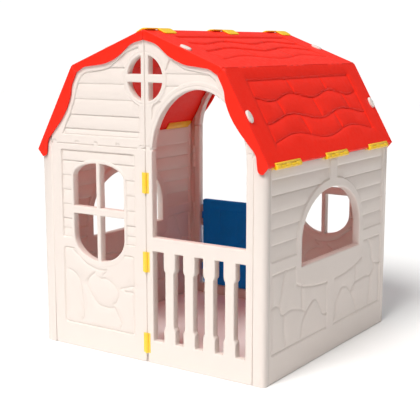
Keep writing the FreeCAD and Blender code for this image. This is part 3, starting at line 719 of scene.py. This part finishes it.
def gable_relief(arched):
    relief = Relief()
    ring = arc((0, OVAL["height"]), OVAL["half"] + 0.016, OVAL["rise"] + 0.016, 0, 345, 32)
    if arched:
        loop = np.array([(0.028, 0.760), (0.028, 0.838), (0.100, 0.998), (0.118, 0.984), (0.152, 0.964),
                         (0.200, 0.956), (0.245, 0.949), (0.268, 0.932), (0.282, 0.905), (0.300, 0.850),
                         (0.330, 0.790), (0.330, 0.760)])
        band = np.vstack((arch_line(0.024, 0, 180), [(0.002, 0.600), (0.404, 0.600)]))
        relief.field(loop, without=[ring, band])
        low, heights, high = 0.760, (0.807, 0.860, 0.910, 0.948), 1.000
    else:
        under_lip = [(0.352, 0.744), (0.336, 0.776), (0.312, 0.820), (0.291, 0.878), (0.284, 0.904),
                     (0.262, 0.938), (0.235, 0.950), (0.190, 0.955), (0.150, 0.964), (0.118, 0.984),
                     (0.080, 1.012), (0.024, 1.032)]
        loop = np.vstack(([(0.024, 0.740), (0.352, 0.740)], curve_through(under_lip, 4)))
        relief.field(loop, without=[ring])
        low, heights, high = 0.740, (0.760, 0.807, 0.860, 0.911, 0.964), 1.040
    relief.siding(low, heights, high, 0.024, 0.352, 0)
    relief.groove(closed(loop), width=0.0070, depth=0.0030, within=0)
    relief.groove(arc((0, OVAL["height"]), OVAL["half"] + 0.0095, OVAL["rise"] + 0.0095, -88, 88, 40),
                  width=0.0035, depth=0.0012)
    if arched:
        relief.groove(arch_line(0.011, 4, 176), width=0.0040, depth=0.0014)
    for u in PEG_PLACES:
        half, tall = 0.0075, 0.0105
        tab = [(u - half, SEAM_Z), (u - half, SEAM_Z + tall), (u + half, SEAM_Z + tall), (u + half, SEAM_Z)]
        relief.groove(tab, width=0.0030, depth=0.0022)
    return relief


def gable(name, body, side, end, arched):
    panes = [pane(0, OVAL["half"], OVAL["height"], OVAL["rise"], 1, up, OVAL_BAR,
                  OVAL["height"] + up * OVAL_CROSSBAR) for up in (-1, 1)]
    relief = gable_relief(arched)
    obj = moulding(name + "_shell", [gable_outline(arched)] + panes, wall_place(side, end), PANEL_THICK,
                   relief, relief, radius=0.0035)
    dress(obj, body, "white_plastic", name)


gable("front_left_gable", "front_left", -1, -1, False)
gable("front_right_gable", "front_right", 1, -1, True)
gable("back_left_gable", "back_left", -1, 1, True)
gable("back_right_gable", "back_right", 1, 1, False)


# ------------------------------------------------------------------ side walls

def bevel_height(x):
    """The height of the side wall's bevelled top at a distance x from the middle."""
    start = EAVE - OUT_LOWER * (ROOF_THICK + ROOF_CLEAR)
    return start[1] + (start[0] - x) * UP_LOWER[1] / -UP_LOWER[0]


def side_relief():
    relief = Relief()
    sill = curve_through([(-0.241, 0.291), (-0.202, 0.276), (-0.148, 0.266), (-0.100, 0.259), (0, 0.254),
                          (0.100, 0.259), (0.148, 0.266), (0.202, 0.276), (0.241, 0.291)], 4)
    ring = np.vstack((arc((0, 0.418), 0.240, 0.184, 0, 180, 40), [(-0.250, 0.336)], sill, [(0.250, 0.336)]))
    rib = box_loop(-0.0275, 0.590, 0.0275, 0.700)
    relief.field(soft_box(-0.406, 0.385, 0.398, 0.690, 0.006), depth=0.0040, without=[ring, rib])
    relief.siding(0.385, (0.437, 0.488, 0.537, 0.589, 0.638), 0.690, -0.406, 0.398, 0)
    pillar = box_loop(-0.030, 0.060, 0.022, 0.270)
    relief.field(soft_box(-0.402, 0.088, 0.398, 0.349, 0.010), depth=0.0022, without=[ring, pillar])
    relief.groove(closed(soft_box(-0.397, 0.093, 0.393, 0.344, 0.008)), width=0.0095, depth=0.0026,
                  within=1)
    relief.groove(sill - (0, 0.005), width=0.0095, depth=0.0030, within=1)
    lines = [
        [(-0.310, 0.345), (-0.331, 0.300), (-0.340, 0.264), (-0.346, 0.234), (-0.337, 0.210),
         (-0.316, 0.204)],
        [(-0.402, 0.240), (-0.370, 0.243), (-0.346, 0.234)],
        [(-0.316, 0.204), (-0.286, 0.210), (-0.250, 0.207), (-0.206, 0.195), (-0.185, 0.186)],
        [(-0.208, 0.278), (-0.206, 0.240), (-0.205, 0.197)],
        [(-0.319, 0.204), (-0.317, 0.144), (-0.305, 0.092)],
        [(-0.212, 0.092), (-0.205, 0.120), (-0.196, 0.156), (-0.172, 0.180), (-0.142, 0.201),
         (-0.124, 0.209), (-0.100, 0.204), (-0.076, 0.177), (-0.058, 0.150), (-0.030, 0.140)],
        [(0.024, 0.100), (0.036, 0.120), (0.041, 0.156), (0.062, 0.186), (0.080, 0.204), (0.104, 0.207),
         (0.131, 0.198), (0.158, 0.174), (0.176, 0.150), (0.191, 0.129), (0.204, 0.092)],
        [(0.191, 0.272), (0.192, 0.240), (0.194, 0.208), (0.230, 0.207), (0.278, 0.209), (0.314, 0.204),
         (0.340, 0.222), (0.350, 0.246), (0.371, 0.240), (0.398, 0.238)],
        [(0.290, 0.345), (0.314, 0.312), (0.328, 0.270), (0.344, 0.240)],
        [(0.160, 0.177), (0.178, 0.196), (0.196, 0.207)],
        [(0.314, 0.202), (0.311, 0.150), (0.300, 0.092)],
    ]
    for line in lines:
        relief.groove(curve_through(line), width=0.0120, depth=0.0044)
    return relief


def side_place(side):
    top = bevel_height(WALL_X)
    bend = top - 0.022

    def place(points, depth):
        x = WALL_X - depth
        z = points[:, 1]
        lift = np.clip((z - bend) / (top - bend), 0, 1) * (bevel_height(x) - top)
        return np.column_stack((side * x, points[:, 0], z + lift))
    return place


def column_outline(side, end):
    """A corner column's rounded outline, seen from above."""
    radius = 0.014
    x_in, x_out, y_in, y_out = SEAM_X + HALF_GAP, WALL_X, INNER_Y, WALL_Y
    small = 0.003
    bend = arc((x_out - radius, y_out - radius), radius, radius, 0, 90, 10)
    inner = arc((x_in + small, y_out - small), small, small, 90, 180, 5)
    outline = np.vstack(([(x_in, y_in), (x_out, y_in)], bend, inner))
    outline = outline * (side, end)
    return outline


def side_column(obj, side, end):
    """A corner column with its top cut under the roof."""
    outline = column_outline(side, end)
    centre = outline.mean(0)
    chamfer = 0.003
    foot = np.column_stack((centre + (outline - centre) * 0.94, np.zeros(len(outline))))
    low = np.column_stack((outline, np.full(len(outline), chamfer)))
    top = np.column_stack((outline, [bevel_height(abs(x)) for x in outline[:, 0]]))
    stacked("column", (foot, low, top), obj)
    x, y = side * SEAM_X, end * (INNER_Y - 0.001)
    for z in CORNER_HEIGHTS:
        third = CORNER_TALL / 3
        for start in (z - 1.5 * third, z + 0.5 * third):
            barrel("eye", x, y, start + 0.0003, start + third - 0.0003, 0.0064, obj)


def side_wall(name, body, side):
    relief = side_relief()
    top = bevel_height(WALL_X)
    outline = box_loop(-INNER_Y, 0, INNER_Y, top)

    def upright_edge(points):
        at_column = INNER_Y - np.abs(points[:, 0]) < 0.0050
        return at_column & (points[:, 1] > 0.0050)

    obj = moulding(name + "_shell", [outline, side_window_loop()], side_place(side), SIDE_THICK,
                   relief, relief, radius=0.0045, square=upright_edge)
    for end in (-1, 1):
        side_column(obj, side, end)
    dress(obj, body, "white_plastic", name)


side_wall("left_side_wall", "left_wall", -1)
side_wall("right_side_wall", "right_wall", 1)


# ------------------------------------------------------------------ roof

# The wavy lower edges of three rows of shingles: mean height, swell, length and crest. Each slope
# also has the height of the straight groove above them.
SHINGLES = {
    True: (0.262, ((0.212, 0.011, 0.300, -0.120), (0.152, 0.013, 0.360, -0.170),
                   (0.078, 0.014, 0.400, -0.190))),
    False: (0.284, ((0.221, 0.011, 0.270, -0.120), (0.147, 0.013, 0.360, -0.170),
                    (0.079, 0.014, 0.400, -0.200))),
}
SHINGLE_HALF = 0.345
JOINTS = ((-0.100, 0.132), (-0.218, 0.018, 0.243), (-0.112, 0.122))


def shingle_relief(upper):
    head, waves = SHINGLES[upper]
    relief = Relief()
    rise = 0.0034

    def edge(wave, y):
        mean, swell, length, crest = wave
        return mean + swell * np.cos(2 * math.pi * (y - crest) / length)

    def shape(points):
        y, s = points[:, 0], points[:, 1]
        tops = [np.full(len(y), head)] + [edge(w, y) for w in waves]
        result = np.zeros(len(y))
        for high, low in zip(tops[:-1], tops[1:]):
            share = np.clip((high - s) / (high - low), 0, 1)
            row = -rise * (1 - share ** 0.8)
            within = (s < high) & (s >= low)
            result = np.where(within, row, result)
        reach = SHINGLE_HALF - np.abs(y)
        side = ease(reach / 0.004)
        return result * side

    relief.shape = shape
    ys = np.linspace(-SHINGLE_HALF, SHINGLE_HALF, 90)
    for wave in waves:
        line = np.column_stack((ys, edge(wave, ys)))
        relief.groove(line, width=0.0095, depth=0.0048)
    relief.groove([(-SHINGLE_HALF, head), (SHINGLE_HALF, head)], width=0.0115, depth=0.0056)
    for y in (-SHINGLE_HALF, SHINGLE_HALF):
        relief.groove([(y, head), (y, edge(waves[2], y))], width=0.007, depth=0.0030)
    tops = [None] + list(waves[:2])
    for places, above, below in zip(JOINTS, tops, waves):
        for y in places:
            high = head if above is None else edge(above, y)
            relief.groove([(y - 0.003, high), (y + 0.004, edge(below, y))], width=0.0065, depth=0.0036)
    return relief


def slab_place(side, upper):
    start, up, out = (KNEE, UP_UPPER, OUT_UPPER) if upper else (EAVE, UP_LOWER, OUT_LOWER)
    long = UPPER_LONG if upper else LOWER_LONG
    blend = 0.035

    def place(points, depth):
        s = points[:, 1].copy()
        knee_cut = np.maximum(depth - KNEE_AXIS_DEPTH, 0) * KNEE_TAN
        if upper:
            s += knee_cut * np.clip(1 - s / blend, 0, 1)
            s -= depth * RIDGE_TAN * np.clip((points[:, 1] - long + blend) / blend, 0, 1)
        else:
            s -= knee_cut * np.clip((s - long + blend) / blend, 0, 1)
        xz = start + s[:, None] * up - depth[:, None] * out
        return np.column_stack((side * xz[:, 0], points[:, 0], xz[:, 1]))
    return place


CAP_ALONG = {"lower": 0.165, "upper": 0.160}
CAP_Y = (INNER_Y + WALL_Y) / 2
CAP_HALF_WIDE, CAP_HALF_LONG = 0.0127, 0.0212
EAVE_HINGES = (-0.327, 0.0, 0.327)
EAVE_HINGE_LONG = 0.155
NOTCH = 0.0104


def slab_outline(part, face_y):
    low, high = 0.0, LOWER_LONG
    knee_shift = KNEE_AXIS_DEPTH * KNEE_TAN + 0.0003
    if part == "upper":
        low, high = knee_shift, UPPER_LONG - HALF_GAP
        return np.array([(-face_y, low), (face_y, low), (face_y, high), (-face_y, high)])
    high -= knee_shift
    outline = [(-face_y, 0)]
    reach = EAVE_HINGE_LONG / 2 + 0.001
    for y in EAVE_HINGES:
        outline += [(y - reach, 0), (y - reach, NOTCH), (y + reach, NOTCH), (y + reach, 0)]
    outline += [(face_y, 0), (face_y, high), (-face_y, high)]
    return np.array(outline)


LIP_UPPER = ((0.0005, 1.053), (0.052, 1.038), (0.100, 1.002), (0.156, 0.978), (0.212, 0.970),
             (0.250, 0.964))
LIP_LOWER = ((0.302, 0.904), (0.309, 0.868), (0.328, 0.824), (0.356, 0.784), (0.390, 0.746),
             (0.415, 0.717), (0.420, 0.690), (0.424, 0.668), (0.433, 0.660))


def lip_outline(part):
    mitre = BISECTOR / np.linalg.norm(BISECTOR)
    axis = KNEE - BISECTOR * KNEE_AXIS_DEPTH
    shift = KNEE_AXIS_DEPTH * KNEE_TAN + 0.0003
    if part == "upper":
        knee_low = axis - mitre * 0.026 + UP_UPPER * 0.0003
        lower = curve_through(LIP_UPPER + (tuple(knee_low),), 6)
        top = [tuple(axis + UP_UPPER * 0.0003), tuple(KNEE + UP_UPPER * shift),
               (HALF_GAP, RIDGE[1] - HALF_GAP * RIDGE_TAN)]
    else:
        knee_low = axis - mitre * 0.026 - UP_LOWER * 0.0003
        lower = curve_through((tuple(knee_low),) + LIP_LOWER, 6)
        tip = arc((0.4375, 0.6665), 0.008, 0.0075, 235, 300, 6)
        top = [tuple(EAVE - OUT_LOWER * 0.001), tuple(EAVE), tuple(KNEE - UP_LOWER * shift),
               tuple(axis - UP_LOWER * 0.0003)]
        return np.vstack((lower, tip[3:], top))
    return np.vstack((lower, top))


def lip_place(side, end):
    def place(points, depth):
        return np.column_stack((side * points[:, 0], end * (ROOF_Y - depth), points[:, 1]))
    return place


def cap_slot(part):
    along = CAP_ALONG[part]
    return [np.column_stack((end * CAP_Y + CAP_HALF_WIDE * np.sin(t), along + CAP_HALF_LONG * np.cos(t)))
            for end in (-1, 1) for t in [np.linspace(0, 2 * math.pi, 28, endpoint=False)]]


def roof_slab(name, body, side, part):
    face_y = ROOF_Y - LIP_THICK + 0.0002
    loops = [slab_outline(part, face_y)] + cap_slot(part)

    def plain_edge(points):
        y, s = np.abs(points[:, 0]), points[:, 1]
        at_knee = s < 0.0045 if part == "upper" else s > LOWER_LONG - 0.0065
        return ((y > face_y - 0.0035) & (s > 0.004)) | at_knee

    obj = moulding(name + "_shell", loops, slab_place(side, part == "upper"), ROOF_THICK,
                   shingle_relief(part == "upper"), None, radius=0.0028, square=plain_edge)
    for end in (-1, 1):
        moulding("lip", [lip_outline(part)], lip_place(side, end), LIP_THICK, radius=0.0018, mesh=obj)
    knee_barrels(obj, side, part)
    dress(obj, body, "red_plastic", name)


KNEE_HINGES = (-0.300, 0.0, 0.300)
KNEE_HINGE_LONG = 0.120


def knee_barrels(obj, side, part):
    axis = KNEE - BISECTOR * KNEE_AXIS_DEPTH
    third = KNEE_HINGE_LONG / 3
    for y in KNEE_HINGES:
        spans = (-0.5,) if part == "upper" else (-1.5, 0.5)
        for start in spans:
            y0 = y + start * third + 0.0003
            ring = arc(axis, 0.004, 0.004, 0, 345, 24)
            stacked("knuckle", [along_y(side)((ring[:, 0], ring[:, 1], np.full(len(ring), y)))
                                for y in (y0, y0 + third - 0.0006)], obj)


for side, word in ((-1, "left"), (1, "right")):
    for part in ("lower", "upper"):
        roof_slab("roof_%s_%s" % (word, part), "%s_roof_%s" % (word, part), side, part)


def caps(name, body, side, part):
    """Domed oval caps in the roof's slots."""
    place = slab_place(side, part == "upper")
    profile = ((0.985, -ROOF_THICK), (0.985, 0.0022), (0.955, 0.0040), (0.86, 0.0053), (0.66, 0.0058),
               (0.40, 0.0059))
    count = 32
    turn = np.linspace(0, 2 * math.pi, count, endpoint=False)
    obj = None
    for end in (-1, 1):
        rows = [place(np.column_stack((end * CAP_Y + CAP_HALF_WIDE * share * np.sin(turn),
                                       CAP_ALONG[part] + CAP_HALF_LONG * share * np.cos(turn))),
                      np.full(count, -height)) for share, height in profile]
        obj = stacked(name + "_domes", rows, obj)
    dress(obj, body, "white_plastic", name)


for side, word in ((-1, "left"), (1, "right")):
    for part in ("lower", "upper"):
        caps("roof_%s_%s_caps" % (word, part), "%s_roof_%s" % (word, part), side, part)


# ------------------------------------------------------------------ yellow hinges and ridge hooks

EAVE_AXIS = np.array((0.460, 0.677))
BARREL = 0.0065


def bar_y(name, outline, side, y0, y1, bevel, join=None):
    return prism(name, outline, y0, y1, bevel, join, along_y(side), share=0.35)


def on_lower(along, out):
    return EAVE + UP_LOWER * along + OUT_LOWER * out


def eave_spans(place):
    fifth = EAVE_HINGE_LONG / 5
    start = place - EAVE_HINGE_LONG / 2
    return [(start + i * fifth, start + (i + 1) * fifth) for i in range(5)]


def eave_leaves(side, word):
    """The roof leaf has the odd knuckles and a bar up the slope, the wall leaf the even ones."""
    gap = 0.0002
    low, high, deep, top = 0.0027, 0.0100, -0.0130, 0.0014
    bar = [on_lower(*place) for place in (
        (low, deep), (high, deep), (high, top - 0.0016), (high - 0.0008, top - 0.0004),
        (high - 0.0024, top), (low, top))]
    arm = [on_lower(*place) for place in (
        (-0.0042, -0.008), (low + 0.001, deep), (low + 0.001, top), (-0.0042, top))]
    foot = on_lower(-0.0015, -0.021)
    run = unit(EAVE_AXIS, foot)
    across = np.array((-run[1], run[0])) * 0.0022
    strut = [EAVE_AXIS + across, foot + across, foot - across, EAVE_AXIS - across]
    sheet = [on_lower(*place) for place in (
        (-0.003, -0.0226), (0.062, -0.0226), (0.062, -0.0192), (-0.003, -0.0192))]
    roof_leaf = wall_leaf = None
    for place in EAVE_HINGES:
        spans = eave_spans(place)
        y0, y1 = spans[0][0], spans[-1][1]
        roof_leaf = bar_y("%s_eave_roof_bars" % word, bar, side, y0, y1, 0.0010, roof_leaf)
        wall_leaf = bar_y("%s_eave_wall_bars" % word, sheet, side, y0 + gap, y1 - gap, 0.0006, wall_leaf)
        for number, (a, b) in enumerate(spans):
            ring = arc(EAVE_AXIS, BARREL, BARREL, 0, 348, 30)
            if number % 2 == 0:
                bar_y("knuckle", ring, side, a + gap * (a != y0), b - gap * (b != y1), 0.0002, roof_leaf)
                bar_y("arm", arm, side, a + gap, b - gap, 0.0003, roof_leaf)
            else:
                bar_y("knuckle", ring, side, a + gap, b - gap, 0.0002, wall_leaf)
                bar_y("strut", strut, side, a + gap, b - gap, 0.0003, wall_leaf)
    dress(roof_leaf, "%s_roof_lower" % word, "yellow_plastic", "%s_eave_roof_leaves" % word)
    dress(wall_leaf, "%s_wall" % word, "yellow_plastic", "%s_eave_wall_leaves" % word)


HOOK = dict(places=(-0.375, 0.0, 0.375), long=0.067, lap=0.010, reach=0.034, thick=0.0045, lift=0.0006)


def ridge_hooks(side, word):
    """Rounded plates that lap over the ridge, end to end in pairs."""
    h = HOOK
    top = RIDGE[1] + h["lift"]

    def place(points, depth):
        x = points[:, 1]
        under = np.where(x < HALF_GAP, top, RIDGE[1] - RIDGE_TAN * np.maximum(x, HALF_GAP) + 0.0001)
        end = RIDGE[1] - RIDGE_TAN * h["reach"] + h["thick"] * 0.75
        fall = np.clip((x - 0.004) / (h["reach"] - 0.004), 0, 1)
        over = top + h["thick"] + (end - top - h["thick"]) * fall ** 1.15
        return np.column_stack((side * x, points[:, 0], over + (under - over) * depth / h["thick"]))

    obj = None
    for centre in h["places"]:
        start = centre - h["long"] - 0.001 if side < 0 else centre + 0.001
        loop = soft_box(start, -h["lap"], start + h["long"], h["reach"], 0.008)
        obj = moulding("ridge_hook_%s_plates" % word, [loop], place, h["thick"], radius=0.0020, mesh=obj)
    dress(obj, "%s_roof_upper" % word, "yellow_plastic", "ridge_hooks_%s" % word)


for side, word in ((-1, "left"), (1, "right")):
    eave_leaves(side, word)
    ridge_hooks(side, word)


# ------------------------------------------------------------------ half door

def half_door():
    low, high = node_box("half_door")
    x0, x1 = DOOR_AXIS[0] + 0.0075, high[0]
    z0, z1 = low[2], high[2]
    y1 = WALL_Y - 0.004
    relief = Relief()
    relief.field(soft_box(x0 + 0.034, z0 + 0.036, x1 - 0.034, z1 - 0.036, 0.012), depth=0.003)
    relief.groove([(x0 + 0.040, z0 + 0.050), (x1 - 0.040, z1 - 0.050)], width=0.012, depth=0.0026, within=0)
    for share in (0.25, 0.5, 0.75):
        x = x0 + (x1 - x0) * share
        relief.groove([(x, z0 + 0.036), (x, z1 - 0.036)], width=0.007, depth=0.002, within=0)

    def place(points, depth):
        return np.column_stack((points[:, 0], y1 - depth, points[:, 1]))

    obj = moulding("half_door_shell", [soft_box(x0, z0, x1, z1, 0.008)], place, 0.020, relief, relief,
                   radius=0.0045)
    x, y = DOOR_AXIS
    for z in DOOR_EYE_HEIGHTS:
        root = [(x0 + 0.002, y - 0.006), (x0 + 0.002, y + 0.003)]
        outline = np.vstack((arc((x, y), DOOR_KNUCKLE, DOOR_KNUCKLE, 90, 270, 10), root))
        prism("knuckle", outline, z - 0.0145, z + 0.0145, 0.0008, obj)
    dress(obj, "door", "blue_plastic", "half_door")


half_door()


# ------------------------------------------------------------------ carried-over CAD nodes

for subpart in frame["record"]["subparts"]:
    obj = bpy.data.objects.get(subpart["node"])
    if obj is None or obj.type != "MESH":
        continue
    for index in range(len(obj.material_slots)):
        obj.material_slots[index].material = FINISH[subpart["material_slot"]]


# ------------------------------------------------------------------ floor, light and camera

def floor():
    mesh = bpy.data.meshes.new("floor")
    size = 14.0
    corners = [(-size, -size, 0), (size, -size, 0), (size, size, 0), (-size, size, 0)]
    mesh.from_pydata(corners, [], [(0, 1, 2, 3)])
    obj = bpy.data.objects.new("floor", mesh)
    bpy.context.scene.collection.objects.link(obj)
    mat = bpy.data.materials.new("floor_paint")
    mat.use_nodes = True
    shader = mat.node_tree.nodes["Principled BSDF"]
    shader.inputs["Base Color"].default_value = (0.95, 0.95, 0.95, 1)
    shader.inputs["Roughness"].default_value = 0.6
    mesh.materials.append(mat)


def area_light(name, place, target, size, power, colour=(1, 1, 1)):
    data = bpy.data.lights.new(name, "AREA")
    data.shape = "RECTANGLE"
    data.size, data.size_y = size
    data.energy = power
    data.color = colour
    obj = bpy.data.objects.new(name, data)
    obj.location = place
    obj.rotation_euler = (Vector(target) - Vector(place)).to_track_quat("-Z", "Y").to_euler()
    bpy.context.scene.collection.objects.link(obj)
    return obj


def sun(name, towards, spread, strength, colour):
    data = bpy.data.lights.new(name, "SUN")
    data.angle = math.radians(spread)
    data.energy = strength
    data.color = colour
    obj = bpy.data.objects.new(name, data)
    obj.rotation_euler = (-Vector(towards)).to_track_quat("-Z", "Y").to_euler()
    bpy.context.scene.collection.objects.link(obj)


def camera():
    data = bpy.data.cameras.new("camera")
    data.lens = 81.69
    data.sensor_width = 36.0
    data.clip_end = 100.0
    obj = bpy.data.objects.new("camera", data)
    place, target = Vector((1.8655, -2.839, 1.0372)), Vector((-0.0475, 0.0, 0.4438))
    obj.location = place
    obj.rotation_euler = (target - place).to_track_quat("-Z", "Y").to_euler()
    bpy.context.scene.collection.objects.link(obj)
    bpy.context.scene.camera = obj


HORIZON, ZENITH, BACKDROP = 0.02, 0.70, 1.05


def world():
    sky = bpy.data.worlds.new("studio")
    sky.use_nodes = True
    nodes, links = sky.node_tree.nodes, sky.node_tree.links
    where = nodes.new("ShaderNodeTexCoord")
    split = nodes.new("ShaderNodeSeparateXYZ")
    links.new(where.outputs["Generated"], split.inputs["Vector"])
    dome = nodes.new("ShaderNodeMapRange")
    dome.inputs["To Min"].default_value = HORIZON
    dome.inputs["To Max"].default_value = ZENITH
    links.new(split.outputs["Z"], dome.inputs["Value"])
    seen = nodes.new("ShaderNodeLightPath")
    bright = nodes.new("ShaderNodeMix")
    bright.inputs["B"].default_value = BACKDROP
    links.new(seen.outputs["Is Camera Ray"], bright.inputs["Factor"])
    links.new(dome.outputs["Result"], bright.inputs["A"])
    nodes["Background"].inputs["Color"].default_value = (1, 1, 1, 1)
    links.new(bright.outputs["Result"], nodes["Background"].inputs["Strength"])
    bpy.context.scene.world = sky


floor()
world()
camera()
sun("key", (-0.04, -0.56, 0.72), 24.0, 2.95, (1.0, 0.985, 0.96))
glow = area_light("roof_glow", (0.0, 0.0, 0.93), (0.0, 0.0, 0.0), (0.40, 0.60), 0.55, (1.0, 0.26, 0.15))
glow.visible_camera = False
bpy.context.scene.view_settings.view_transform = "Standard"
